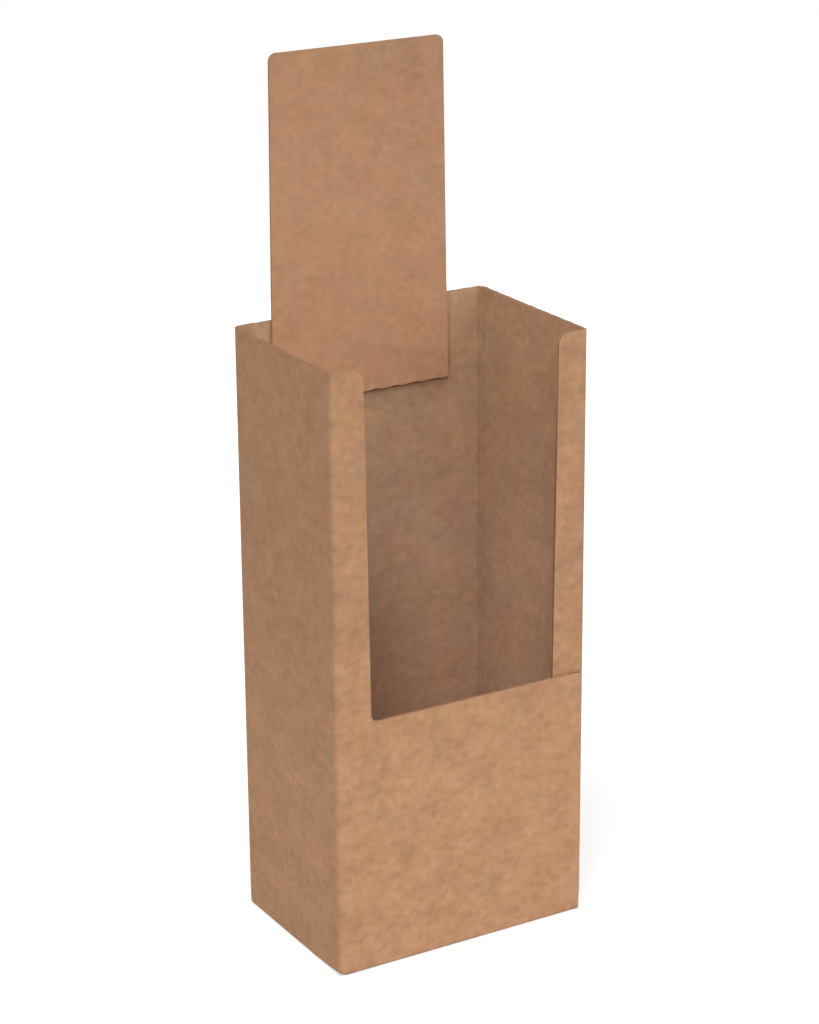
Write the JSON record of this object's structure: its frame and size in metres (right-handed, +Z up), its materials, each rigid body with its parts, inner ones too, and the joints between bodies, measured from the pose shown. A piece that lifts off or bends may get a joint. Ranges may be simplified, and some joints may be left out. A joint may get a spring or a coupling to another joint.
{
  "type": "cardboard display stand",
  "caption": "Tall floor-standing display box folded from a sheet of plain kraft board, open on top with a window in front, and a header card standing up from its back wall.",
  "frame": {"origin": "on the floor, in the middle of the box's footprint", "axes": "+Z up, the front with the window faces -Y, +X on the right seen from the front"},
  "size_m": [0.4, 0.268, 1.234],
  "materials": {
    "kraft_board": "matt brown kraft liner, unprinted",
    "header_board": "matt brown kraft liner, unprinted"
  },
  "bodies": {
    "root": {"folded_body": "kraft_board", "header_card": "header_board"}
  },
  "joints": []
}
